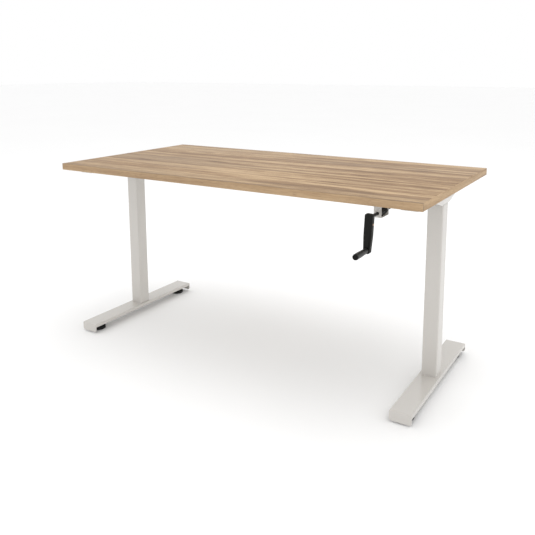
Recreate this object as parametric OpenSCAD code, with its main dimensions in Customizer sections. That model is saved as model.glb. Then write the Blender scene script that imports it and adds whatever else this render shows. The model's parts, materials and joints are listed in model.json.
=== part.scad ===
// Height adjustable standing desk, hand cranked, standing at its lowest height.
// Two telescopic legs are driven by one crank through a cross shaft and mitre gears.
// Millimetres. +Z is up and +X is to the right of the person who sits at the desk, who looks along +Y.
// The origin is on the floor, at the middle of the desk's overall outline with the crank handle included.

/* [Worktop] */
// Width of the worktop, left to right
top_w = 1600; // [1580:10:1800]
// Depth of the worktop, front to back
top_d = 800; // [780:10:900]
// Thickness of the particleboard core
core_t = 25; // [25:1:28]
// Thickness of the laminate on each face
laminate_t = 1; // [0.6:0.2:1.2]
// Thickness of the edge bands
band_t = 1.5; // [1:0.5:2]

/* [Height] */
// Height of the worktop surface at the lowest setting
low_height = 768; // [740:1:800]
// How far the worktop can be raised
lift_travel = 450; // [300:10:450]

/* [Legs] */
// Distance between the centre lines of the two columns
leg_spacing = 1466; // [1400:2:1466]
// How far the columns stand in front of the middle of the worktop
leg_forward = 30; // [0:5:60]
// Outside width of the outer column
outer_size = 58; // [58:1:60]
// Wall thickness of the outer column
outer_wall = 1.5; // [1.2:0.1:1.5]
// Outside width of the inner column
inner_size = 50; // [49:1:50]
// Wall thickness of the inner column
inner_wall = 2; // [1.5:0.5:2]

/* [Feet] */
// Width of a foot
foot_w = 80; // [70:1:90]
// Length of a foot
foot_l = 652; // [600:2:700]
// Sheet thickness of a foot
foot_sheet = 2.5; // [2:0.5:3]
// Depth of the short flange along the sides of a foot
foot_flange = 14; // [12:1:18]
// Depth of the lip that closes each end of a foot
foot_lip = 36; // [30:1:40]
// Gap between the end lips and the floor
floor_gap = 6; // [4:1:8]
// Distance of a levelling glide from the end of its foot
glide_inset = 54; // [46:1:60]
// Diameter of a levelling glide
glide_d = 58; // [50:1:60]
// How far a levelling glide can be screwed out
glide_travel = 8; // [0:1:8]

/* [Crank] */
// Distance of the crank from the middle of the desk
crank_x = 641; // [600:1:645]
// Angle from straight down at which the crank hangs when the worktop is lowest
crank_lean = 3; // [0:0.5:5]
// Distance from the crank's axis to the middle of its grip
crank_radius = 106; // [90:1:120]
// How far the end of the grip stands in front of the worktop
front_reach = 125; // [110:1:140]
// Length of the grip with its end cap
grip_l = 84; // [70:1:88]
// Diameter of the grip at its free end
grip_d = 20; // [18:1:24]
// Depth of the crank's axis below the worktop
axis_drop = 29; // [28:0.5:29]

/* [Hidden] */
$fn = 64;

// Colours
oak = "#b99c78";
powder_grey = "#c9c5bf";
black = "#232323";
steel = "#9a9c9e";
brass = "#b08d4c";
nylon = "#d8d5cf";

// Fits between pieces
play = 0.3;     // between pieces that slide past each other
run = 0.05;     // between a shaft and its bearing, on the radius
cut = 1;        // how far a cutting shape runs past the face that it cuts

// Heights and places
top_t = core_t + 2 * laminate_t;
underside = low_height - top_t;
top_y = front_reach / 2;
front_y = top_y - top_d / 2;
leg_x = leg_spacing / 2;
leg_y = top_y - leg_forward;
axis_z = underside - axis_drop;
foot_top = floor_gap + foot_lip;

// Support arms and rails
sheet = 2;
arm_w = outer_size;
arm_l = 600;
arm_depth = 46;
arm_tip_depth = 18;
arm_flat = 45;
arm_taper_end = 150;
head_plate_t = 4;
head_plate_l = 84;
arm_bottom = underside - arm_depth;
rail_w = 40;
rail_h = 20;
rail_wall = 1.5;
rail_offset = 100;
rail_end_t = 2.5;
rail_end_w = 68;
rail_bolt_offset = 27;

// Columns
collar_rim = 1.6;
collar_l = 30;
outer_top = arm_bottom - collar_rim - 0.4;
outer_bore = outer_size - 2 * outer_wall;
inner_bottom = foot_top + 20;
slider_l = 60;
corner_r = 5;

// Spindles, nuts and bearings
spindle_r = 7;
journal_r = 4 - run;
nut_tube_r = 15;
nut_tube_bore = 12.5;
base_plate_t = 10;
nut_l = 30;
nut_z = 600;
spindle_bottom = nut_z - lift_travel + 10;
bearing_r = 14;
bearing_t = 8;
boss_r = 17;
boss_bottom = arm_bottom - 10;
bearing_z = boss_bottom + 2;

// Mitre gears: axial distance from the shafts' crossing point to each end of the teeth
teeth = 16;
gear_near = 6;
gear_far = 11.5;
tip_angle = 50;
root_angle = 38.7;
tooth_root_half = 5.6;
tooth_tip_half = 2.4;
tooth_inset = 0.4;

// Gearboxes
box_x = 52;
box_y = 56;
box_wall = 4;
box_top = underside - 12;
lid_top = underside - 4;
crank_box = 50;
crank_box_bottom = axis_z - 22;
crank_box_top = underside - 8;
ear_l = 84;
ear_t = 4;
cross_flats = 8;
box_screw_r = 1.5;
box_screw_inset = 2.6;

// Crank bracket and crank
bracket_w = 26;
bracket_depth = 65;
bracket_h = 43.5;
bracket_front = front_y + 30;
bracket_flange = 18;
crank_shaft_r = 5;
bush_r = 10.5;
arm_front = front_y - front_reach + grip_l;
crank_arm_t = 16;
crank_arm_w = 27;
crank_arm_tip_r = 11;
crank_arm_taper = 60;
crank_arm_rise = 11.6;
crank_screw_drop = 21;
grip_pin_r = 3.5;
grip_cap_t = 3;

// Screws: the height of each screw's seat, in a list of [x, y, seat]
screw_r = 2.5;
screw_bite = 18;
arm_screw_seats = [for (s = [-1, 1], y = [-280, -180, 180, 280]) [s * leg_x, leg_y + y, underside - sheet]];
rail_screw_seats = [for (x = [-450, 0, 450], s = [-1, 1]) [x, leg_y + s * rail_offset, underside - rail_h]];
ear_screw_seats = [for (s = [-1, 1]) [crank_x, leg_y + s * 35, underside - ear_t]];
bracket_screw_seats = [for (s = [-1, 1], y = [11, bracket_depth + 9])
    [crank_x + s * 8, bracket_front + y, underside - sheet]];
screw_seats = concat(arm_screw_seats, rail_screw_seats, ear_screw_seats, bracket_screw_seats);
foot_bolt_half = 17;
foot_bolt_r = 3.9;
glide_y = foot_l / 2 - glide_inset;
glide_pad_h = 18;
stem_r = 4;
boss_depth = 18;

// ---- Shared shapes ----

// A flat rectangle with round corners
module rounded_rect(w, d, r) {
    square([w - 2 * r, d], center = true);
    square([w, d - 2 * r], center = true);
    for (x = [-1, 1], y = [-1, 1])
        translate([x * (w / 2 - r), y * (d / 2 - r)])
            circle(r = r);
}

// A flat rectangle that hangs down from y = 0, with round upper and lower corners
module hanging_rect(w, h, r_top, r_low) {
    translate([-w / 2, r_low - h])
        square([w, h - r_low - r_top]);
    translate([r_top - w / 2, -r_top])
        square([w - 2 * r_top, r_top]);
    translate([r_low - w / 2, -h])
        square([w - 2 * r_low, r_low]);
    for (s = [-1, 1]) {
        translate([s * (w / 2 - r_top), -r_top])
            circle(r = r_top);
        translate([s * (w / 2 - r_low), r_low - h])
            circle(r = r_low);
    }
}

// Draws a flat outline across the desk: its x runs to the back, its y runs up
module across(w) {
    translate([-w / 2, 0, 0])
        rotate([90, 0, 90])
            linear_extrude(w)
                children();
}

// Draws a flat outline from front to back: its x runs to the right, its y runs up
module along(l) {
    translate([0, l / 2, 0])
        rotate([90, 0, 0])
            linear_extrude(l)
                children();
}

// A round bar along X, from x to x + l
module bar_x(x, l, r) {
    translate([x, 0, 0])
        rotate([0, 90, 0])
            cylinder(h = l, r = r);
}

// A round bar along Y, from y to y + l
module bar_y(y, l, r) {
    translate([0, y + l, 0])
        rotate([90, 0, 0])
            cylinder(h = l, r = r);
}

// A square tube that stands on z = 0
module square_tube(size, wall, l, r) {
    linear_extrude(l)
        difference() {
            rounded_rect(size, size, r);
            rounded_rect(size - 2 * wall, size - 2 * wall, r - wall);
        }
}

// A box that stands on z = 0, centred in x and y
module block(w, d, h) {
    translate([-w / 2, -d / 2, 0])
        cube([w, d, h]);
}

// One mitre gear tooth: two trapezoids joined, both on lines through the shafts' crossing point
function tooth_ring(z) = [
    for (p = [[root_angle - 2, -tooth_root_half], [root_angle - 2, tooth_root_half],
              [tip_angle, tooth_tip_half], [tip_angle, -tooth_tip_half]])
        [z * tan(p[0]) * cos(p[1]), z * tan(p[0]) * sin(p[1]), z]
];

module gear_tooth() {
    polyhedron(
        points = concat(tooth_ring(gear_near + tooth_inset), tooth_ring(gear_far - tooth_inset)),
        faces = [[3, 2, 1, 0], [4, 5, 6, 7], [0, 1, 5, 4], [1, 2, 6, 5], [2, 3, 7, 6], [3, 0, 4, 7]]
    );
}

// A mitre gear on the Z axis, its crossing point at the origin and its large end up
module mitre_gear(bore, phase) {
    difference() {
        union() {
            translate([0, 0, gear_near])
                cylinder(
                    h = gear_far - gear_near,
                    r1 = gear_near * tan(root_angle),
                    r2 = gear_far * tan(root_angle)
                );
            for (i = [0 : teeth - 1])
                rotate([0, 0, phase + i * 360 / teeth])
                    gear_tooth();
        }
        translate([0, 0, gear_near - cut])
            cylinder(h = gear_far - gear_near + 2 * cut, r = bore);
    }
}

// ---- Worktop ----

module worktop_layer(z, t) {
    translate([0, top_y, z])
        block(top_w - 2 * band_t, top_d - 2 * band_t, t);
}

module screw_holes(r, top) {
    for (p = screw_seats)
        translate([p[0], p[1], underside - cut])
            cylinder(h = top + cut, r = r, $fn = 24);
}

module board_core() {
    color(oak)
        difference() {
            worktop_layer(underside + laminate_t, core_t);
            screw_holes(screw_r + run, screw_bite + 0.5);
        }
}

module top_laminate() {
    color(oak)
        worktop_layer(low_height - laminate_t, laminate_t);
}

module backing_laminate() {
    color(oak)
        difference() {
            worktop_layer(underside, laminate_t);
            screw_holes(screw_r + run, laminate_t + cut);
        }
}

// The front and rear bands run the full width, and the side bands stand between them
module long_band(side) {
    color(oak)
        translate([0, top_y + side * (top_d - band_t) / 2, underside])
            block(top_w, band_t, top_t);
}

module short_band(side) {
    color(oak)
        translate([side * (top_w - band_t) / 2, top_y, underside])
            block(band_t, top_d - 2 * band_t, top_t);
}

module front_edge_band() { long_band(-1); }
module rear_edge_band() { long_band(1); }
module left_edge_band() { short_band(-1); }
module right_edge_band() { short_band(1); }

// ---- Frame under the worktop ----

// A rectangular tube with a bolted plate at each end
module rail(side) {
    rail_l = 2 * (leg_x - arm_w / 2);
    color(powder_grey)
        difference() {
            translate([0, leg_y + side * rail_offset, underside - rail_h / 2]) {
                rotate([0, 90, 0])
                    linear_extrude(rail_l - 2 * rail_end_t, center = true)
                        difference() {
                            rounded_rect(rail_h, rail_w, 2.5);
                            rounded_rect(rail_h - 2 * rail_wall, rail_w - 2 * rail_wall, 1);
                        }
                for (s = [-1, 1])
                    difference() {
                        translate([s * (rail_l - rail_end_t) / 2, 0, -rail_h / 2])
                            block(rail_end_t, rail_end_w, rail_h);
                        for (b = [-1, 1])
                            translate([0, b * rail_bolt_offset, 0])
                                bar_x(s * rail_l / 2 - 2 * rail_end_t, 4 * rail_end_t, 3.3);
                    }
            }
            for (p = rail_screw_seats)
                translate([p[0], p[1], p[2] - cut])
                    cylinder(h = rail_h + 2 * cut, r = screw_r + 0.5, $fn = 24);
        }
}

module front_rail() { rail(-1); }
module rear_rail() { rail(1); }

// The side view of a support arm: deep over the column and shallow at its ends
module arm_profile() {
    polygon([
        [-arm_l / 2, 0], [arm_l / 2, 0], [arm_l / 2, -arm_tip_depth], [arm_taper_end, -arm_tip_depth],
        [arm_flat, -arm_depth], [-arm_flat, -arm_depth], [-arm_taper_end, -arm_tip_depth],
        [-arm_l / 2, -arm_tip_depth]
    ]);
}

// A folded channel, open below, with a welded plate that carries the gearbox and the inner column
module support_arm(side) {
    inside = arm_w - 2 * sheet;
    color(powder_grey)
        translate([side * leg_x, leg_y, underside])
            difference() {
                union() {
                    difference() {
                        across(arm_w)
                            arm_profile();
                        translate([0, 0, -arm_depth - cut])
                            block(inside, arm_l - 2 * sheet, arm_depth + cut - sheet);
                    }
                    translate([0, 0, -arm_depth])
                        block(inside + sheet, head_plate_l, head_plate_t);
                }
                translate([0, 0, -arm_depth - cut])
                    cylinder(h = head_plate_t + 2 * cut, r = boss_r + 0.1);
                translate([0, 0, -axis_drop])
                    bar_x(-side * (arm_w / 2 - sheet / 2) - 2 * sheet, 4 * sheet, 8);
                for (r = [-1, 1], b = [-1, 1])
                    translate([0, r * rail_offset + b * rail_bolt_offset, -rail_h / 2])
                        bar_x(-side * (arm_w / 2 - sheet / 2) - 2 * sheet, 4 * sheet, 3.3);
                for (y = [-280, -180, 180, 280])
                    translate([0, y, -sheet - cut])
                        cylinder(h = sheet + 2 * cut, r = screw_r + 0.5, $fn = 24);
            }
}

module left_support_arm() { support_arm(-1); }
module right_support_arm() { support_arm(1); }

module inner_column(side) {
    color(powder_grey)
        translate([side * leg_x, leg_y, inner_bottom])
            square_tube(inner_size, inner_wall, arm_bottom - inner_bottom, 4);
}

module left_inner_column() { inner_column(-1); }
module right_inner_column() { inner_column(1); }

// A nylon sleeve fixed round the lower end of the inner column
module slider(side) {
    color(nylon)
        translate([side * leg_x, leg_y, inner_bottom + 2])
            linear_extrude(slider_l)
                difference() {
                    rounded_rect(outer_bore - 2 * play, outer_bore - 2 * play, 3.2);
                    rounded_rect(inner_size, inner_size, 4);
                }
}

module left_slider() { slider(-1); }
module right_slider() { slider(1); }

// ---- Gearboxes ----

// Puts its children at the crossing point of a leg's two shafts
module at_leg_gears(side) {
    translate([side * leg_x, leg_y, axis_z])
        children();
}

module box_corners(w, d) {
    for (x = [-1, 1], y = [-1, 1])
        translate([x * (w / 2 - box_screw_inset), y * (d / 2 - box_screw_inset), 0])
            children();
}

// The leg gearbox's lower shell, with a boss for the spindle's bearing
module leg_gearbox(side) {
    floor_z = arm_bottom + head_plate_t;
    color(black)
        translate([side * leg_x, leg_y, 0])
            difference() {
                union() {
                    translate([0, 0, floor_z])
                        block(box_x, box_y, box_top - floor_z);
                    translate([0, 0, boss_bottom])
                        cylinder(h = floor_z - boss_bottom + 1, r = boss_r);
                }
                translate([0, 0, floor_z + 1.8])
                    block(box_x - 2 * box_wall, box_y - 2 * box_wall, box_top);
                translate([0, 0, bearing_z])
                    cylinder(h = floor_z - bearing_z + box_wall, r = bearing_r);
                translate([0, 0, boss_bottom - cut])
                    cylinder(h = 4, r = spindle_r + 1);
                translate([0, 0, axis_z])
                    bar_x(-box_x, 2 * box_x, journal_r + run);
                box_corners(box_x, box_y)
                    translate([0, 0, box_top - 18])
                        cylinder(h = 20, r = box_screw_r + run, $fn = 24);
            }
}

module left_gearbox() { leg_gearbox(-1); }
module right_gearbox() { leg_gearbox(1); }

module leg_gearbox_lid(side) {
    color(black)
        translate([side * leg_x, leg_y, box_top])
            difference() {
                block(box_x, box_y, lid_top - box_top);
                translate([0, 0, -cut])
                    block(box_x - 2 * box_wall, box_y - 2 * box_wall, 4 + cut);
                box_corners(box_x, box_y)
                    translate([0, 0, -cut])
                        cylinder(h = lid_top - box_top + 2 * cut, r = box_screw_r + run, $fn = 24);
            }
}

module left_gearbox_lid() { leg_gearbox_lid(-1); }
module right_gearbox_lid() { leg_gearbox_lid(1); }

module spindle_bearings() {
    color(steel)
        for (s = [-1, 1])
            translate([s * leg_x, leg_y, bearing_z])
                difference() {
                    cylinder(h = bearing_t, r = bearing_r);
                    translate([0, 0, -cut])
                        cylinder(h = bearing_t + 2 * cut, r = journal_r + run);
                    for (z = [-cut, bearing_t - 1])
                        translate([0, 0, z])
                            difference() {
                                cylinder(h = 1 + cut, r = 11.5);
                                cylinder(h = 1 + cut, r = 8.5);
                            }
                }
}

// The gearbox where the crank's shaft meets the cross shaft
module crank_gearbox() {
    color(black)
        translate([crank_x, leg_y, 0])
            difference() {
                translate([0, 0, crank_box_bottom])
                    block(crank_box, crank_box, crank_box_top - crank_box_bottom);
                translate([0, 0, crank_box_bottom + box_wall])
                    block(crank_box - 2 * box_wall, crank_box - 2 * box_wall, crank_box_top);
                translate([0, 0, axis_z]) {
                    bar_x(-crank_box, 2 * crank_box, journal_r + run);
                    bar_y(-crank_box, crank_box, crank_shaft_r + run);
                }
                box_corners(crank_box, crank_box)
                    translate([0, 0, crank_box_bottom - cut])
                        cylinder(h = crank_box_top, r = box_screw_r + run, $fn = 24);
            }
}

module crank_gearbox_lid() {
    color(black)
        translate([crank_x, leg_y, crank_box_top])
            difference() {
                union() {
                    block(crank_box, crank_box, ear_t + cut);
                    translate([0, 0, ear_t])
                        block(crank_box, ear_l, ear_t);
                }
                for (s = [-1, 1])
                    translate([0, s * 35, -cut])
                        cylinder(h = 10, r = screw_r + 0.5, $fn = 24);
                box_corners(crank_box, crank_box)
                    translate([0, 0, -cut])
                        cylinder(h = 5, r = box_screw_r + run, $fn = 24);
            }
}

// Small screws at the gearboxes' corners: from above in the legs, from below at the crank
module gearbox_screws() {
    color(steel) {
        for (s = [-1, 1])
            translate([s * leg_x, leg_y, 0])
                box_corners(box_x, box_y) {
                    translate([0, 0, box_top - 16])
                        cylinder(h = lid_top - box_top + 16.5, r = box_screw_r, $fn = 24);
                    translate([0, 0, lid_top])
                        cylinder(h = 1.6, r = box_screw_inset, $fn = 24);
                }
        translate([crank_x, leg_y, 0])
            box_corners(crank_box, crank_box) {
                translate([0, 0, crank_box_bottom - 0.5])
                    cylinder(h = crank_box_top - crank_box_bottom + 4, r = box_screw_r, $fn = 24);
                translate([0, 0, crank_box_bottom - 1.6])
                    cylinder(h = 1.6, r = box_screw_inset, $fn = 24);
            }
    }
}

// ---- Crank bracket ----

// A bent strap: front plate, bottom plate and rear plate, with a flange at the top of each upright
module crank_bracket() {
    color(powder_grey)
        translate([crank_x, bracket_front, underside])
            difference() {
                union() {
                    translate([0, bracket_depth / 2, 0])
                        across(bracket_w)
                            difference() {
                                hanging_rect(bracket_depth, bracket_h, 0.5, 4);
                                translate([0, 1])
                                    hanging_rect(bracket_depth - 2 * sheet, bracket_h + 1 - sheet, 0.5, 2);
                            }
                    for (y = [0, bracket_depth - sheet])
                        translate([0, y + bracket_flange / 2, -sheet])
                            block(bracket_w, bracket_flange, sheet);
                }
                translate([0, 0, -axis_drop])
                    bar_y(-cut, bracket_depth + 2 * cut, crank_shaft_r + 0.6);
                for (s = [-1, 1], y = [11, bracket_depth + 9])
                    translate([s * 8, y, -sheet - cut])
                        cylinder(h = sheet + 2 * cut, r = screw_r + 0.5, $fn = 24);
            }
}

// The plastic bearing between the bracket's plates
module crank_bush() {
    color(black)
        translate([crank_x, bracket_front + sheet, axis_z])
            difference() {
                bar_y(0, bracket_depth - 2 * sheet, bush_r);
                bar_y(-cut, bracket_depth, crank_shaft_r + run);
            }
}

// ---- Fasteners ----

// Pan-head screws through the frame into the worktop
module worktop_screws() {
    color(steel)
        for (p = screw_seats)
            translate([p[0], p[1], p[2]]) {
                translate([0, 0, -2.4])
                    cylinder(h = 2.4, r = 4.6, $fn = 24);
                translate([0, 0, -1])
                    cylinder(h = underside + screw_bite - p[2] + 1, r = screw_r, $fn = 24);
            }
}

// Bolts with nuts that hold the rails to the support arms
module frame_bolts() {
    color(steel)
        for (s = [-1, 1], r = [-1, 1], b = [-1, 1])
            translate([s * (leg_x - arm_w / 2), leg_y + r * rail_offset + b * rail_bolt_offset,
                       underside - rail_h / 2])
                rotate([0, s * 90, 0]) {
                    translate([0, 0, -9])
                        cylinder(h = 12, r = 3, $fn = 24);
                    translate([0, 0, sheet])
                        cylinder(h = 4, r = 5, $fn = 24);
                    translate([0, 0, -rail_end_t - 5])
                        cylinder(h = 5, r = 5.7, $fn = 6);
                }
}

// ---- Base ----

module at_glides() {
    for (y = [-1, 1])
        translate([0, y * glide_y, 0])
            children();
}

// A foot folded from sheet: top plate, short side flanges and deep end lips
module foot(side) {
    color(powder_grey)
        translate([side * leg_x, leg_y, foot_top])
            difference() {
                union() {
                    difference() {
                        intersection() {
                            along(foot_l)
                                hanging_rect(foot_w, foot_lip, 3, 9);
                            across(foot_w)
                                hanging_rect(foot_l, foot_lip + 5, 5, 2);
                        }
                        translate([0, 0, -foot_lip - cut])
                            block(foot_w - 2 * foot_sheet, foot_l - 2 * foot_sheet,
                                  foot_lip + cut - foot_sheet);
                        translate([0, 0, -foot_lip - cut])
                            block(2 * foot_w, foot_l - 2 * foot_sheet, foot_lip + cut - foot_flange);
                    }
                    at_glides()
                        translate([0, 0, -boss_depth])
                            cylinder(h = boss_depth - foot_sheet / 2, r = 9);
                }
                at_glides()
                    translate([0, 0, -boss_depth - cut])
                        cylinder(h = boss_depth + cut - foot_sheet, r = stem_r + run);
                for (x = [-1, 1], y = [-1, 1])
                    translate([x * foot_bolt_half, y * foot_bolt_half, -foot_sheet - cut])
                        cylinder(h = foot_sheet + 2 * cut, r = foot_bolt_r + 0.4, $fn = 32);
            }
}

module left_foot() { foot(-1); }
module right_foot() { foot(1); }

module outer_column(side) {
    color(powder_grey)
        translate([side * leg_x, leg_y, foot_top])
            square_tube(outer_size, outer_wall, outer_top - foot_top, corner_r);
}

module left_outer_column() { outer_column(-1); }
module right_outer_column() { outer_column(1); }

// The nylon guide in the mouth of the outer column, with a thin rim on top
module guide_collar(side) {
    color(nylon)
        translate([side * leg_x, leg_y, outer_top])
            difference() {
                union() {
                    translate([0, 0, -collar_l])
                        linear_extrude(collar_l + 0.5)
                            rounded_rect(outer_bore, outer_bore, corner_r - outer_wall);
                    linear_extrude(collar_rim)
                        rounded_rect(outer_size, outer_size, corner_r);
                }
                translate([0, 0, -collar_l - cut])
                    linear_extrude(collar_l + collar_rim + 2 * cut)
                        rounded_rect(inner_size + 2 * play, inner_size + 2 * play, 4 + play);
            }
}

module left_guide_collar() { guide_collar(-1); }
module right_guide_collar() { guide_collar(1); }

// The plate in the outer column's lower end, tapped for the foot's bolts
module base_plate(side) {
    color(steel)
        translate([side * leg_x, leg_y, foot_top])
            difference() {
                linear_extrude(base_plate_t)
                    rounded_rect(outer_bore - 0.4, outer_bore - 0.4, 3.3);
                for (x = [-1, 1], y = [-1, 1])
                    translate([x * foot_bolt_half, y * foot_bolt_half, -cut])
                        cylinder(h = base_plate_t + 2 * cut, r = foot_bolt_r + run, $fn = 32);
            }
}

module left_base_plate() { base_plate(-1); }
module right_base_plate() { base_plate(1); }

module nut_tube(side) {
    color(steel)
        translate([side * leg_x, leg_y, foot_top + base_plate_t])
            difference() {
                cylinder(h = nut_z - foot_top - base_plate_t, r = nut_tube_r);
                translate([0, 0, cut])
                    cylinder(h = nut_z, r = nut_tube_bore);
            }
}

module left_nut_tube() { nut_tube(-1); }
module right_nut_tube() { nut_tube(1); }

// The nut that the spindle turns in, with a spigot down into its tube
module spindle_nut(side) {
    color(brass)
        translate([side * leg_x, leg_y, nut_z])
            difference() {
                union() {
                    cylinder(h = nut_l, r = nut_tube_r);
                    translate([0, 0, -12])
                        cylinder(h = 13, r = nut_tube_bore - run);
                }
                translate([0, 0, -20])
                    cylinder(h = nut_l + 30, r = spindle_r + run);
            }
}

module left_spindle_nut() { spindle_nut(-1); }
module right_spindle_nut() { spindle_nut(1); }

module foot_bolts() {
    color(steel)
        for (s = [-1, 1], x = [-1, 1], y = [-1, 1])
            translate([s * leg_x + x * foot_bolt_half, leg_y + y * foot_bolt_half, foot_top - foot_sheet]) {
                translate([0, 0, -5])
                    cylinder(h = 5, r = 7, $fn = 6);
                translate([0, 0, -1])
                    cylinder(h = base_plate_t + foot_sheet, r = foot_bolt_r, $fn = 32);
            }
}

// ---- Drive ----

// A hexagonal shaft, turned round where it runs in the gearboxes' walls
module cross_shaft() {
    reach = leg_x + box_x / 2 - 1;
    leg_wall = (box_x - box_wall) / 2;
    crank_wall = (crank_box - box_wall) / 2;
    round_half = box_wall / 2 + 1;
    walls = [-leg_x - leg_wall, -leg_x + leg_wall, crank_x - crank_wall, crank_x + crank_wall,
             leg_x - leg_wall, leg_x + leg_wall];
    color(steel)
        translate([0, leg_y, axis_z]) {
            bar_x(-reach, 2 * reach, journal_r);
            for (i = [0 : len(walls) - 2])
                translate([walls[i] + round_half, 0, 0])
                    rotate([0, 90, 0])
                        cylinder(h = walls[i + 1] - walls[i] - 2 * round_half,
                                 d = cross_flats / cos(30), $fn = 6);
        }
}

// A gear on the cross shaft, on the right of its crossing point
module shaft_gear(x) {
    color(steel)
        translate([x, leg_y, axis_z])
            rotate([0, 90, 0])
                mitre_gear(cross_flats / cos(30) / 2, 0);
}

module left_shaft_gear() { shaft_gear(-leg_x); }
module right_shaft_gear() { shaft_gear(leg_x); }
module drive_shaft_gear() { shaft_gear(crank_x); }

module spindle(side) {
    color(steel)
        translate([side * leg_x, leg_y, 0]) {
            translate([0, 0, spindle_bottom])
                cylinder(h = bearing_z - 1 - spindle_bottom, r = spindle_r);
            translate([0, 0, bearing_z - 2])
                cylinder(h = axis_z - gear_near - bearing_z + 2, r = journal_r);
        }
}

module left_spindle() { spindle(-1); }
module right_spindle() { spindle(1); }

// A gear on top of a spindle, below its crossing point
module spindle_gear(side) {
    color(steel)
        at_leg_gears(side)
            rotate([180, 0, 0])
                mitre_gear(journal_r, 180 / teeth);
}

module left_spindle_gear() { spindle_gear(-1); }
module right_spindle_gear() { spindle_gear(1); }

// Puts its children on the crank's axis, at the front face of the crank arm
module at_crank() {
    translate([crank_x, arm_front, axis_z])
        rotate([0, crank_lean, 0])
            children();
}

module crank_shaft() {
    color(black)
        at_crank() {
            bar_y(5, leg_y - gear_far - 1 - arm_front - 5, crank_shaft_r);
            bar_y(10, leg_y - gear_near - arm_front - 10, journal_r);
        }
}

module crank_gear() {
    color(steel)
        translate([crank_x, leg_y, axis_z])
            rotate([90, 0, 0])
                mitre_gear(journal_r, 180 / teeth);
}

// A flat arm with a narrower, round lower end, bored for the shaft, the grip's pin and the side screw
module crank_arm() {
    half_w = crank_arm_w / 2;
    low_end = crank_radius + crank_arm_tip_r;
    color(black)
        at_crank()
            difference() {
                translate([0, crank_arm_t / 2, 0])
                    along(crank_arm_t)
                        difference() {
                            translate([0, crank_arm_rise])
                                hanging_rect(crank_arm_w, crank_arm_rise + low_end, 5, crank_arm_tip_r);
                            for (s = [-1, 1])
                                polygon([
                                    [s * half_w, -crank_arm_taper], [s * (half_w + cut), -crank_arm_taper],
                                    [s * (half_w + cut), -low_end - cut], [s * (half_w - 3), -low_end - cut]
                                ]);
                        }
                bar_y(5, crank_arm_t, crank_shaft_r);
                translate([0, 0, -crank_radius])
                    bar_y(-cut, crank_arm_t + 2 * cut, grip_pin_r);
                translate([0, crank_arm_t / 2, -crank_screw_drop])
                    bar_x(5, crank_arm_w, 2.5);
            }
}

// The brass screw in the side of the crank arm
module crank_screw() {
    color(brass)
        at_crank()
            translate([0, crank_arm_t / 2, -crank_screw_drop]) {
                bar_x(6, crank_arm_w / 2 - 6, 2.45);
                bar_x(crank_arm_w / 2, 1.4, 3.2);
            }
}

// The pin that the grip turns on, with a head inside the grip
module grip_pin() {
    color(steel)
        at_crank()
            translate([0, 0, -crank_radius]) {
                bar_y(12 - grip_l, grip_l - 12 + crank_arm_t, grip_pin_r);
                bar_y(9 - grip_l, 2.5, 5.5);
            }
}

// A round grip, slightly slimmer where it meets the arm
module grip() {
    body_l = grip_l - grip_cap_t - play;
    end_r = grip_d / 2;
    color(black)
        at_crank()
            translate([0, -play, -crank_radius])
                rotate([90, 0, 0])
                    difference() {
                        rotate_extrude()
                            polygon([
                                [0, 0], [end_r - 2.5, 0], [end_r - 1.6, 2], [end_r - 1.2, 12],
                                [end_r, body_l * 0.6], [end_r, body_l - 1], [end_r - 1, body_l], [0, body_l]
                            ]);
                        translate([0, 0, -cut])
                            cylinder(h = grip_l, r = grip_pin_r + run);
                        translate([0, 0, grip_l - 12 - 2 * play])
                            cylinder(h = grip_l, r = 6);
                    }
}

// The flat cap that closes the grip's free end
module grip_cap() {
    color(black)
        at_crank()
            translate([0, 0, -crank_radius])
                bar_y(-grip_l, grip_cap_t, grip_d / 2 - 1);
}

// ---- Levelling glides ----

// A moulded pad on a threaded stem
module glide(x_side, y_side) {
    pad_r = glide_d / 2;
    color(black)
        translate([x_side * leg_x, leg_y + y_side * glide_y, 0]) {
            rotate_extrude()
                polygon([
                    [0, 0], [pad_r - 1.5, 0], [pad_r, 1.5], [pad_r, glide_pad_h - 5],
                    [pad_r - 2, glide_pad_h - 3], [stem_r + 4, glide_pad_h], [0, glide_pad_h]
                ]);
            translate([0, 0, glide_pad_h - 1])
                cylinder(h = foot_top - foot_sheet - 1.5 - glide_pad_h + 1, r = stem_r);
        }
}

module front_left_glide() { glide(-1, -1); }
module front_right_glide() { glide(1, -1); }
module rear_left_glide() { glide(-1, 1); }
module rear_right_glide() { glide(1, 1); }

// ---- The pieces ----

board_core();
top_laminate();
backing_laminate();
front_edge_band();
rear_edge_band();
left_edge_band();
right_edge_band();
front_rail();
rear_rail();
left_support_arm();
right_support_arm();
left_inner_column();
right_inner_column();
left_slider();
right_slider();
left_gearbox();
right_gearbox();
left_gearbox_lid();
right_gearbox_lid();
spindle_bearings();
crank_gearbox();
crank_gearbox_lid();
crank_bracket();
crank_bush();
worktop_screws();
frame_bolts();
gearbox_screws();
left_foot();
right_foot();
left_outer_column();
right_outer_column();
left_guide_collar();
right_guide_collar();
left_base_plate();
right_base_plate();
left_nut_tube();
right_nut_tube();
left_spindle_nut();
right_spindle_nut();
foot_bolts();
cross_shaft();
left_shaft_gear();
right_shaft_gear();
drive_shaft_gear();
left_spindle();
right_spindle();
left_spindle_gear();
right_spindle_gear();
crank_shaft();
crank_gear();
crank_arm();
crank_screw();
grip_pin();
grip();
grip_cap();
front_left_glide();
front_right_glide();
rear_left_glide();
rear_right_glide();
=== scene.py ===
"""A height adjustable desk with a hand crank: its looks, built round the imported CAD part."""

import json
import math

import bmesh
import bpy
from mathutils import Matrix, Vector


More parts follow.
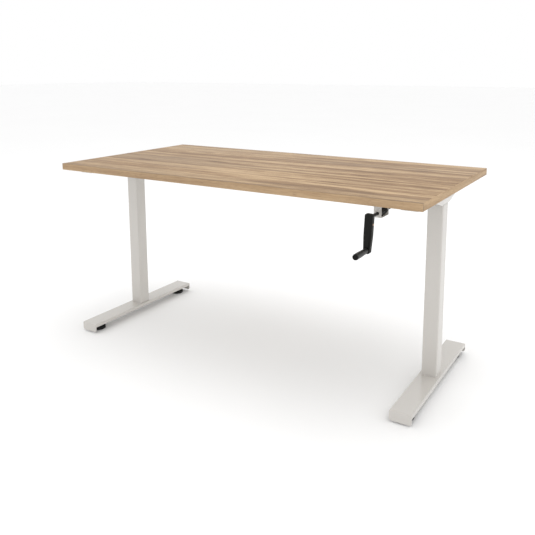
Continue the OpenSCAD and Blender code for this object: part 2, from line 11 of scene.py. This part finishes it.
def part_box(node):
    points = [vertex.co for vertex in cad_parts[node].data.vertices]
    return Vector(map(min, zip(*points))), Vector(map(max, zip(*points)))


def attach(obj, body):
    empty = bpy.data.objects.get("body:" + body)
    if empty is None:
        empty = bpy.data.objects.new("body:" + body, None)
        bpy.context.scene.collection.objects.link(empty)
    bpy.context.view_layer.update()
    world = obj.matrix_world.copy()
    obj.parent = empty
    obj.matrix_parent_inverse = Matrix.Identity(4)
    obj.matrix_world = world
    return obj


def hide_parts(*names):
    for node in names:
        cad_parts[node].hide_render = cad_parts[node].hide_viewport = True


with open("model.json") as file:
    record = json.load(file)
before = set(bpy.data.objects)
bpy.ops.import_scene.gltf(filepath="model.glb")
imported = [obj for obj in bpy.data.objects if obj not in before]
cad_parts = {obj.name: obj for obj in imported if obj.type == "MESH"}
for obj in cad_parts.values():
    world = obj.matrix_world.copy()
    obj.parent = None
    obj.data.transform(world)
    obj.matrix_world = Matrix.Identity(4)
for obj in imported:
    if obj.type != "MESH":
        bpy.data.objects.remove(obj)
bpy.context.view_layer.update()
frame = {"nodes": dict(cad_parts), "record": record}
record = frame["record"]
slot_of = {part["node"]: part["material_slot"] for part in record["subparts"]}
colour_of = {material["slot"]: material["base_color"] for material in record["materials"]}
body_of = {n: body for body, members in record["behaviour"]["bodies"].items() for n in members}


# ---- Camera and light, in metres ----

CAMERA_PLACE = (1.3952, -2.1523, 1.1694)
CAMERA_TURN = 30.83  # degrees to the left of +Y
CAMERA_DIP = 9.30  # degrees below the horizon
CAMERA_LENS = 42.45  # mm
CAMERA_SENSOR = 36  # mm
CAMERA_SHIFT = (-0.0315, -0.1785)  # shares of the frame's width

WORLD_STRENGTH = 1.0
LIGHT_TARGET = (0, 0, 0.45)  # the middle of the desk
# name: place, side of its square, power in watts
LIGHTS = {
    "key": ((9.0, -1.6, 1.5), 4.0, 15),
    "sky": ((0.6, 0.4, 5.0), 4.0, 70),
}


def make_camera():
    data = bpy.data.cameras.new("camera")
    data.sensor_width = CAMERA_SENSOR
    data.lens = CAMERA_LENS
    data.shift_x, data.shift_y = CAMERA_SHIFT
    camera = bpy.data.objects.new("camera", data)
    camera.location = CAMERA_PLACE
    camera.rotation_euler = (math.radians(90 - CAMERA_DIP), 0, math.radians(CAMERA_TURN))
    bpy.context.scene.collection.objects.link(camera)
    bpy.context.scene.camera = camera


def make_lights():
    target = Vector(LIGHT_TARGET)
    for name, (place, side, watts) in LIGHTS.items():
        data = bpy.data.lights.new(name, "AREA")
        data.size = side
        data.energy = watts
        light = bpy.data.objects.new(name, data)
        light.location = place
        light.rotation_euler = (target - Vector(place)).to_track_quat("-Z", "Y").to_euler()
        bpy.context.scene.collection.objects.link(light)
    world = bpy.data.worlds.new("studio")
    world.use_nodes = True
    background = world.node_tree.nodes["Background"]
    background.inputs["Color"].default_value = (1, 1, 1, 1)
    background.inputs["Strength"].default_value = WORLD_STRENGTH
    bpy.context.scene.world = world
    bpy.context.scene.view_settings.view_transform = "Standard"


make_camera()
make_lights()


# ---- Materials ----


class Surface:
    """A node material: a Principled shader, and short names for the nodes that feed it."""

    def __init__(self, name, metallic=0.0):
        self.material = bpy.data.materials.new(name)
        self.material.use_nodes = True
        self.nodes = self.material.node_tree.nodes
        self.links = self.material.node_tree.links
        self.shader = self.nodes["Principled BSDF"]
        self.put(self.shader.inputs["Metallic"], metallic)

    def put(self, socket, value):
        if isinstance(value, bpy.types.NodeSocket):
            self.links.new(value, socket)
        else:
            socket.default_value = value

    def place(self, scale, offset=(0, 0, 0)):
        """Points of the piece in metres, in the row's frame, stretched by scale."""
        coords = self.nodes.new("ShaderNodeTexCoord")
        mapping = self.nodes.new("ShaderNodeMapping")
        self.put(mapping.inputs["Vector"], coords.outputs["Object"])
        self.put(mapping.inputs["Scale"], scale)
        self.put(mapping.inputs["Location"], offset)
        return mapping.outputs["Vector"]

    def along(self, axis):
        """How far along X, Y or Z a point is, in metres."""
        coords = self.nodes.new("ShaderNodeTexCoord")
        parts = self.nodes.new("ShaderNodeSeparateXYZ")
        self.put(parts.inputs[0], coords.outputs["Object"])
        return parts.outputs[axis]

    def noise(self, vector, detail=2.0, roughness=0.5, distortion=0.0):
        node = self.nodes.new("ShaderNodeTexNoise")
        self.put(node.inputs["Vector"], vector)
        self.put(node.inputs["Scale"], 1.0)
        self.put(node.inputs["Detail"], detail)
        self.put(node.inputs["Roughness"], roughness)
        self.put(node.inputs["Distortion"], distortion)
        return node.outputs["Fac"]

    def cells(self, vector):
        """The distance to the nearest cell's centre, and that cell's own random number."""
        node = self.nodes.new("ShaderNodeTexVoronoi")
        self.put(node.inputs["Vector"], vector)
        self.put(node.inputs["Scale"], 1.0)
        return node.outputs["Distance"], node.outputs["Color"]

    def maths(self, operation, a, b=0.0):
        node = self.nodes.new("ShaderNodeMath")
        node.operation = operation
        self.put(node.inputs[0], a)
        self.put(node.inputs[1], b)
        return node.outputs[0]

    def vector_sum(self, a, b):
        node = self.nodes.new("ShaderNodeVectorMath")
        node.operation = "ADD"
        self.put(node.inputs[0], a)
        self.put(node.inputs[1], b)
        return node.outputs[0]

    def spread(self, value, low, high, to_low=0.0, to_high=1.0):
        """Takes low to to_low and high to to_high, and holds the ends."""
        node = self.nodes.new("ShaderNodeMapRange")
        for socket, number in zip(node.inputs, (value, low, high, to_low, to_high)):
            self.put(socket, number)
        return node.outputs[0]

    def from_noise(self, noise, to_low, to_high):
        """Takes the range that a noise mostly keeps to, 0.3 to 0.7, to a range of its own."""
        return self.spread(noise, 0.3, 0.7, to_low, to_high)

    def ramp(self, value, stops):
        node = self.nodes.new("ShaderNodeValToRGB")
        self.put(node.inputs["Fac"], value)
        elements = node.color_ramp.elements
        while len(elements) < len(stops):
            elements.new(0.5)
        for element, (position, colour) in zip(elements, stops):
            element.position = position
            element.color = (*colour, 1)
        return node.outputs["Color"]

    def mix(self, factor, a, b):
        """a where factor is 0, b where it is 1."""
        node = self.nodes.new("ShaderNodeMix")
        node.data_type = "RGBA"
        self.put(node.inputs[0], factor)
        self.put(node.inputs[6], a)
        self.put(node.inputs[7], b)
        return node.outputs[2]

    def colour(self, value):
        self.put(self.shader.inputs["Base Color"], value)

    def roughness(self, value):
        self.put(self.shader.inputs["Roughness"], value)

    def specular(self, value):
        self.put(self.shader.inputs["Specular IOR Level"], value)

    def bump(self, height, depth):
        """Relief that is depth metres high."""
        node = self.nodes.new("ShaderNodeBump")
        self.put(node.inputs["Height"], height)
        self.put(node.inputs["Distance"], depth)
        self.put(self.shader.inputs["Normal"], node.outputs["Normal"])


def shade(colour, factor):
    return tuple(channel * factor for channel in colour[:3])


def opaque(colour, factor):
    """A shaded colour with its alpha, as a socket takes it."""
    return (*shade(colour, factor), 1)


top_low, top_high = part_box("top_laminate")
# The darker line where the front band meets the top: its axis, place and reach to each side
SEAM_FROM_ABOVE = ("Y", top_low.y, 0.010)
SEAM_FROM_FRONT = ("Z", top_high.z, 0.0025)
SEAM_CORE = 0.6  # share of the reach that has its full darkness
OAK_DARK = (0.130, 0.072, 0.038)
OAK_BROWN = (0.270, 0.168, 0.092)
OAK_MID = (0.400, 0.268, 0.154)
OAK_LIGHT = (0.580, 0.412, 0.248)
OAK_GREY = (0.330, 0.250, 0.172)
BAND_OFFSET = (0.3, 0.7, 0.1)  # so that the edge bands don't repeat the top's figure


def oak(name, grain, tone, figure=1.0, offset=(0, 0, 0), seam=SEAM_FROM_ABOVE):
    """Printed oak. grain is the axis that the grain follows, and figure is how bold it is."""
    surface = Surface(name)

    def stretched(along, across):
        """Repeats per metre along the grain and across it."""
        return tuple(along if axis == grain else across for axis in "XYZ")

    waver = surface.noise(surface.place(stretched(1.1, 3.5), offset), 2)
    waver = surface.maths("MULTIPLY", surface.maths("SUBTRACT", waver, 0.5), 0.9)
    boards = surface.noise(surface.vector_sum(surface.place(stretched(0.5, 8), offset), waver), 1)
    bands = surface.noise(surface.vector_sum(surface.place(stretched(1.1, 31), offset), waver), 3, 0.55)
    streaks = surface.noise(
        surface.vector_sum(surface.place(stretched(4.2, 78), offset), waver), 6, 0.70, 0.4
    )
    fibres = surface.noise(surface.place(stretched(14, 330), offset), 3, 0.65)
    pores = surface.noise(surface.place(stretched(40, 1000), offset), 1)
    tint = surface.noise(surface.place(stretched(0.9, 8), (3, 1, 2)), 2)

    blend = surface.maths("MULTIPLY", boards, 0.12)
    for layer, share in ((bands, 0.34), (streaks, 0.32), (fibres, 0.22)):
        blend = surface.maths("ADD", blend, surface.maths("MULTIPLY", layer, share))
    softness = 0.080 / figure
    value = surface.spread(blend, 0.5 - softness, 0.5 + softness)
    wood = surface.ramp(value, [
        (0.0, shade(OAK_BROWN, 0.80 * tone)),
        (0.22, shade(OAK_BROWN, tone)),
        (0.50, shade(OAK_MID, tone)),
        (0.80, shade(OAK_LIGHT, 0.92 * tone)),
        (1.0, shade(OAK_LIGHT, tone)),
    ])
    grey = surface.spread(tint, 0.48, 0.70, 0.0, 0.35 * figure)
    wood = surface.mix(grey, wood, opaque(OAK_GREY, tone))

    # A cell has a knot when its number is high; fibres break up the knot's rim
    knot, chance = surface.cells(surface.place(stretched(4.2, 19), offset))
    near = surface.spread(knot, 0.14, 0.34, 1.0, 0.0)
    kept = surface.spread(chance, 0.63, 0.67)
    ragged = surface.spread(fibres, 0.60, 0.46)
    knots = surface.maths("MULTIPLY", surface.maths("MULTIPLY", near, kept), ragged)
    knots = surface.maths("MULTIPLY", knots, 0.8 * figure)
    wood = surface.mix(knots, wood, opaque(OAK_DARK, tone))

    axis, at, width = seam
    distance = surface.maths("ABSOLUTE", surface.maths("SUBTRACT", surface.along(axis), at))
    line = surface.spread(distance, SEAM_CORE * width, width, 1.0, 0.0)
    line = surface.maths("MULTIPLY", line, surface.spread(streaks, 0.30, 0.55, 0.95, 0.35))
    wood = surface.mix(line, wood, opaque(OAK_GREY, 0.62))

    pore = surface.spread(pores, 0.60, 0.68, 0.0, 0.35)
    surface.colour(surface.mix(pore, wood, opaque(OAK_DARK, tone)))
    surface.specular(0.3)
    surface.roughness(surface.from_noise(streaks, 0.56, 0.70))
    relief = surface.maths("SUBTRACT", surface.maths("MULTIPLY", fibres, 0.5), pore)
    surface.bump(relief, 0.00012)
    return surface.material


def chipboard(name):
    """Raw particleboard, with flecks of lighter and darker chips."""
    colour = colour_of[name]
    surface = Surface(name)
    _, chip = surface.cells(surface.place((420, 420, 900)))
    fine = surface.noise(surface.place((900, 900, 900)), 3)
    flecks = surface.mix(0.5, chip, fine)
    surface.colour(surface.ramp(flecks, [(0.2, shade(colour, 0.62)), (0.8, shade(colour, 1.2))]))
    surface.roughness(surface.from_noise(fine, 0.75, 0.95))
    surface.bump(fine, 0.0003)
    return surface.material


def smooth_laminate(name):
    """A plain laminate with a faint cloud in its colour and a fine weave in its gloss."""
    colour = colour_of[name]
    surface = Surface(name)
    cloud = surface.noise(surface.place((6, 6, 6)), 3)
    weave = surface.noise(surface.place((700, 700, 700)), 2)
    surface.colour(surface.mix(cloud, opaque(colour, 0.94), opaque(colour, 1.05)))
    surface.roughness(surface.from_noise(weave, 0.50, 0.62))
    surface.bump(weave, 0.00006)
    return surface.material


def powder_coat(name):
    """Baked powder paint: a fine orange peel, and slightly uneven gloss."""
    colour = colour_of[name]
    surface = Surface(name)
    peel = surface.noise(surface.place((520, 520, 520)), 2, 0.55)
    speck = surface.noise(surface.place((2600, 2600, 2600)), 1)
    cloud = surface.noise(surface.place((4, 4, 4)), 3)
    tone = surface.mix(cloud, opaque(colour, 0.955), opaque(colour, 1.0))
    speckle = surface.spread(speck, 0.62, 0.74, 0.0, 0.05)
    surface.colour(surface.mix(speckle, tone, opaque(colour, 0.7)))
    surface.roughness(surface.from_noise(cloud, 0.11, 0.15))
    surface.specular(0.9)
    surface.bump(surface.maths("ADD", peel, surface.maths("MULTIPLY", speck, 0.2)), 0.000012)
    return surface.material


# How far the roughness of a surface rises above its lowest
MOULDED_SPREAD = 0.12
METAL_SPREAD = 0.20


def moulded(name, smooth, relief=0.00004, grain_size=0.0009, sheen=0.5):
    """Moulded plastic or satin coating, with an even eroded texture.

    smooth is its lowest roughness, relief the texture's height and sheen its specular level.
    """
    colour = colour_of[name]
    surface = Surface(name)
    surface.specular(sheen)
    grains = 1 / grain_size
    texture = surface.noise(surface.place((grains, grains, grains)), 2, 0.6)
    cloud = surface.noise(surface.place((30, 30, 30)), 3)
    surface.colour(surface.mix(cloud, opaque(colour, 0.85), opaque(colour, 1.18)))
    surface.roughness(surface.from_noise(cloud, smooth, smooth + MOULDED_SPREAD))
    surface.bump(texture, relief)
    return surface.material


def metal(name, lines, smooth):
    """Bare metal with fine tool marks; lines is how many there are per metre along each axis."""
    colour = colour_of[name]
    surface = Surface(name, metallic=1.0)
    marks = surface.noise(surface.place(lines), 3, 0.6)
    stain = surface.noise(surface.place((60, 60, 60)), 3)
    surface.colour(surface.mix(stain, opaque(colour, 0.80), opaque(colour, 1.12)))
    worn = surface.maths("ADD", surface.maths("MULTIPLY", marks, 0.6), surface.maths("MULTIPLY", stain, 0.4))
    surface.roughness(surface.from_noise(worn, smooth, smooth + METAL_SPREAD))
    surface.bump(marks, 0.00002)
    return surface.material


# Tool marks per metre along X, Y and Z
LATHE_MARKS = (60, 60, 2600)
SHAFT_MARKS = (2600, 60, 60)
PIN_MARKS = (60, 2600, 60)
EVEN_MARKS = (900, 900, 900)
# material: its maker, and what the maker is told besides its name
FINISHES = {
    "core_board": (chipboard, {}),
    "oak_laminate": (oak, dict(grain="X", tone=0.95)),
    "backing": (smooth_laminate, {}),
    "oak_edge": (oak, dict(grain="X", tone=1.08, figure=0.35, offset=BAND_OFFSET, seam=SEAM_FROM_FRONT)),
    "oak_end": (oak, dict(grain="Y", tone=1.0, figure=0.45, offset=BAND_OFFSET)),
    "powder_coat": (powder_coat, {}),
    "slide_nylon": (moulded, dict(smooth=0.45)),
    "collar_nylon": (moulded, dict(smooth=0.45)),
    "gearbox_plastic": (moulded, dict(smooth=0.48, relief=0.00006, sheen=0.25)),
    "bush_plastic": (moulded, dict(smooth=0.42, sheen=0.08)),
    "bearing_steel": (metal, dict(lines=LATHE_MARKS, smooth=0.18)),
    "zinc_fasteners": (metal, dict(lines=EVEN_MARKS, smooth=0.30)),
    "plain_steel": (metal, dict(lines=SHAFT_MARKS, smooth=0.30)),
    "nut_brass": (metal, dict(lines=LATHE_MARKS, smooth=0.25)),
    "gear_steel": (metal, dict(lines=EVEN_MARKS, smooth=0.38)),
    "black_metal": (moulded, dict(smooth=0.36, relief=0.00002, grain_size=0.0006, sheen=0.11)),
    "screw_brass": (metal, dict(lines=EVEN_MARKS, smooth=0.24)),
    "pin_steel": (metal, dict(lines=PIN_MARKS, smooth=0.25)),
    "grip_plastic": (moulded, dict(smooth=0.30, relief=0.00002, sheen=0.3)),
    "cap_plastic": (moulded, dict(smooth=0.50, sheen=0.1)),
    "glide_plastic": (moulded, dict(smooth=0.46, sheen=0.2)),
}
materials = {name: make(name, **looks) for name, (make, looks) in FINISHES.items()}
END_BANDS = ("left_edge_band", "right_edge_band")
SHADED_SHARP = math.radians(32)


def finish_of(node):
    """The material of a node: its slot's, or the end bands' own oak, whose grain runs along Y."""
    return materials["oak_end" if node in END_BANDS else slot_of[node]]


def smooth_by_angle(mesh):
    """Smooth shading, except across edges sharper than SHADED_SHARP."""
    for polygon in mesh.polygons:
        polygon.use_smooth = True
    mesh.set_sharp_from_angle(angle=SHADED_SHARP)


for node, piece in frame["nodes"].items():
    piece.data.materials.clear()
    piece.data.materials.append(finish_of(node))
    smooth_by_angle(piece.data)


# ---- Pieces that stand for CAD nodes, in metres ----

SAME_POINT = 1e-6
NEARLY_FLAT = math.radians(0.5)
SHARP = math.radians(40)
# Radii of rounded edges, and how many faces go round them
BOARD_EDGE = 0.0005
SHEET_EDGE = 0.0004
PLASTIC_EDGE = 0.0008
ARM_EDGE = 0.0014
EDGE_STEPS = 2
ARM_EDGE_STEPS = 3

# A screw's head radius, head height and shank radius
WORKTOP_SCREW = (0.0046, 0.0024, 0.0025)
GEARBOX_SCREW = (0.0026, 0.0016, 0.0015)
SIDE_SCREW_HEAD = 0.0014
SIDE_SCREW_SHANK = 0.00245
SCREW_SEGMENTS = 24
SIDE_SCREW_SEGMENTS = 48
TIP = 0.6  # share of the shank's radius
# Shares of a screw head's radius
SOCKET = 0.42
SOCKET_RIM = SOCKET * 1.08
FLAT = 0.72
# Shares of a screw head's height
SOCKET_DEPTH = 0.60
RIM_DEPTH = 0.06
DOME = 0.62
DOME_STEPS = 4
CRANK_LEAN = math.radians(3)

GLIDE_STEM = 0.004
GLIDE_PITCH = 0.00125
GLIDE_SEGMENTS = 120
GLIDE_END = 0.001  # length of the stem's plain end
FLUTES = 48
FLUTE_DEPTH = 0.025  # share of the radius


def add_piece(name, form, node):
    """Makes a mesh object from a bmesh, and puts it in the place of a CAD node."""
    mesh = bpy.data.meshes.new(name)
    bmesh.ops.recalc_face_normals(form, faces=form.faces)
    form.to_mesh(mesh)
    form.free()
    mesh.materials.append(finish_of(node))
    smooth_by_angle(mesh)
    piece = bpy.data.objects.new(name, mesh)
    bpy.context.scene.collection.objects.link(piece)
    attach(piece, body_of[node])
    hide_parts(node)
    return piece


def form_of(node):
    """A CAD node's mesh, with the corners that its faces share joined."""
    form = bmesh.new()
    form.from_mesh(frame["nodes"][node].data)
    bmesh.ops.remove_doubles(form, verts=form.verts, dist=SAME_POINT)
    return form


def softened(node, radius, steps=EDGE_STEPS):
    """The CAD node with its sharp edges rounded, as those of sheet, board and castings are."""
    form = form_of(node)
    bmesh.ops.dissolve_limit(form, angle_limit=NEARLY_FLAT, verts=form.verts, edges=form.edges)
    sharp = [e for e in form.edges if len(e.link_faces) == 2 and e.calc_face_angle(0) > SHARP]
    bmesh.ops.bevel(
        form, geom=sharp, offset=radius, segments=steps, profile=0.5, affect="EDGES", clamp_overlap=True
    )
    return add_piece(node + "_soft", form, node)


def solids(node):
    """The lowest and highest corner of each separate solid in a CAD node."""
    form = form_of(node)
    left = set(form.verts)
    boxes = []
    while left:
        group, todo = set(), [left.pop()]
        while todo:
            vert = todo.pop()
            group.add(vert)
            for edge in vert.link_edges:
                other = edge.other_vert(vert)
                if other in left:
                    left.discard(other)
                    todo.append(other)
        corners = [v.co for v in group]
        low = Vector(min(c[i] for c in corners) for i in range(3))
        high = Vector(max(c[i] for c in corners) for i in range(3))
        boxes.append((low, high))
    form.free()
    return sorted(boxes, key=lambda box: tuple(box[0]))


def round_outline(angle):
    """A circle."""
    return 1.0


def hexagon(angle):
    """The reach of a hexagon whose corners are on the circle."""
    sixth = math.pi / 3
    return math.cos(sixth / 2) / math.cos(angle % sixth - sixth / 2)


def ribbed(angle):
    """A grip edge of shallow flutes."""
    return 1.0 - FLUTE_DEPTH * abs(math.sin(FLUTES / 2 * angle))


def turned(form, rings, place, segments):
    """Adds a closed form round the Z axis of place. A ring is (radius, height, outline).

    An outline takes an angle to the share of the radius that the ring reaches there.
    """
    loops = []
    for radius, height, outline in rings:
        loop = []
        for i in range(segments):
            angle = 2 * math.pi * i / segments
            reach = radius * outline(angle)
            point = Vector((reach * math.cos(angle), reach * math.sin(angle), height))
            loop.append(form.verts.new(place @ point))
        loops.append(loop)
    for lower, upper in zip(loops, loops[1:]):
        for i in range(segments):
            j = (i + 1) % segments
            form.faces.new((lower[i], lower[j], upper[j], upper[i]))
    form.faces.new(reversed(loops[0]))
    form.faces.new(loops[-1])


def screw_rings(head, height, shank, length):
    """A pan head with a hexagon socket at z = 0, its top, and a shank that ends at -length."""
    rings = [(shank * TIP, -length, round_outline), (shank, -length + shank, round_outline)]
    rings += [(shank, -height, round_outline), (head, -height, round_outline)]
    for step in range(DOME_STEPS + 1):
        angle = math.pi / 2 * step / DOME_STEPS
        radius = head * (FLAT + (1 - FLAT) * math.cos(angle))
        rings.append((radius, -height * DOME * (1 - math.sin(angle)), round_outline))
    rings.append((head * SOCKET_RIM, 0, hexagon))
    rings += [(head * SOCKET, -height * depth, hexagon) for depth in (RIM_DEPTH, SOCKET_DEPTH)]
    return rings


def facing(axis, at):
    """A place at a point, with its Z axis turned to look along axis."""
    return Matrix.Translation(at) @ Vector(axis).to_track_quat("Z", "X").to_matrix().to_4x4()


def screws(node, size, downward=lambda low, high: True):
    """A socket screw for every solid in a node whose screws run along Z.

    downward says, from a screw's lowest and highest corner, whether its head is at the bottom.
    """
    form = bmesh.new()
    for low, high in solids(node):
        down = downward(low, high)
        middle = (low + high) / 2
        top = Vector((middle.x, middle.y, low.z if down else high.z))
        rings = screw_rings(*size, high.z - low.z)
        turned(form, rings, facing((0, 0, -1 if down else 1), top), SCREW_SEGMENTS)
    return add_piece(node + "_turned", form, node)


def side_screw():
    """The screw in the side of the crank arm, which leans with the crank."""
    axis = Vector((math.cos(CRANK_LEAN), 0, -math.sin(CRANK_LEAN)))
    points = [v.co for v in frame["nodes"]["crank_screw"].data.vertices]
    far = max(p.dot(axis) for p in points)
    near = min(p.dot(axis) for p in points)
    face = [p for p in points if p.dot(axis) > far - 10 * SAME_POINT]
    tip = Vector((min(p[i] for p in face) + max(p[i] for p in face)) / 2 for i in range(3))
    head = max((p - tip).length for p in face)
    form = bmesh.new()
    rings = screw_rings(head, SIDE_SCREW_HEAD, SIDE_SCREW_SHANK, far - near)
    turned(form, rings, facing(axis, tip), SIDE_SCREW_SEGMENTS)
    return add_piece("crank_screw_turned", form, "crank_screw")


def glide(node):
    """A levelling glide: ribbed pad, dished underside, lock nut and threaded stem."""
    low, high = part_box(node)
    pad = (high.x - low.x) / 2
    nut = GLIDE_STEM + 0.0035
    root = GLIDE_STEM - 0.0005
    rings = [
        (pad - 0.006, 0.0006, round_outline),
        (pad - 0.005, 0, round_outline),
        (pad - 0.0015, 0, round_outline),
        (pad, 0.0015, round_outline),
        (pad, 0.0022, ribbed),
        (pad, 0.0122, ribbed),
        (pad, 0.0130, round_outline),
        (pad - 0.0020, 0.0150, round_outline),
        (nut + 0.0010, 0.0176, round_outline),
        (nut, 0.0178, hexagon),
        (nut, 0.0198, hexagon),
        (nut - 0.0005, 0.0202, round_outline),
    ]
    height = 0.0204
    while height + GLIDE_PITCH < high.z - GLIDE_END:
        rings += [(root, height, round_outline), (GLIDE_STEM, height + GLIDE_PITCH / 2, round_outline)]
        height += GLIDE_PITCH
    rings += [(root, height, round_outline), (root - 0.0003, high.z, round_outline)]
    middle = Vector(((low.x + high.x) / 2, (low.y + high.y) / 2, 0))
    form = bmesh.new()
    turned(form, rings, Matrix.Translation(middle), GLIDE_SEGMENTS)
    return add_piece(node + "_turned", form, node)


def at_crank_gearbox(low, high):
    """Whether a gearbox screw is one of the crank gearbox's, which go in from below."""
    lid_low, lid_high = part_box("left_gearbox_lid")
    return low.x > 0 and high.z < (lid_low.z + lid_high.z) / 2


for node in ("top_laminate", "front_edge_band", "rear_edge_band", "left_edge_band", "right_edge_band"):
    softened(node, BOARD_EDGE)
for node in ("left_support_arm", "right_support_arm", "crank_bracket"):
    softened(node, SHEET_EDGE)
for node in ("left_gearbox_lid", "right_gearbox_lid", "crank_gearbox", "crank_gearbox_lid"):
    softened(node, PLASTIC_EDGE)
softened("crank_arm", ARM_EDGE, ARM_EDGE_STEPS)
screws("worktop_screws", WORKTOP_SCREW)
screws("gearbox_screws", GEARBOX_SCREW, at_crank_gearbox)
side_screw()
for node in ("front_left_glide", "front_right_glide", "rear_left_glide", "rear_right_glide"):
    glide(node)


# ---- Floor ----

FLOOR_SIDE = 80
floor_form = bmesh.new()
bmesh.ops.create_grid(floor_form, x_segments=8, y_segments=8, size=FLOOR_SIDE / 2)
floor_mesh = bpy.data.meshes.new("floor")
floor_form.to_mesh(floor_mesh)
floor_form.free()
floor_surface = Surface("floor")
floor_cloud = floor_surface.noise(floor_surface.place((0.7, 0.7, 0.7)), 2)
floor_surface.colour(floor_surface.mix(floor_cloud, (0.96, 0.96, 0.96, 1), (0.98, 0.98, 0.98, 1)))
floor_surface.roughness(0.9)
floor_mesh.materials.append(floor_surface.material)
floor = bpy.data.objects.new("floor", floor_mesh)
bpy.context.scene.collection.objects.link(floor)
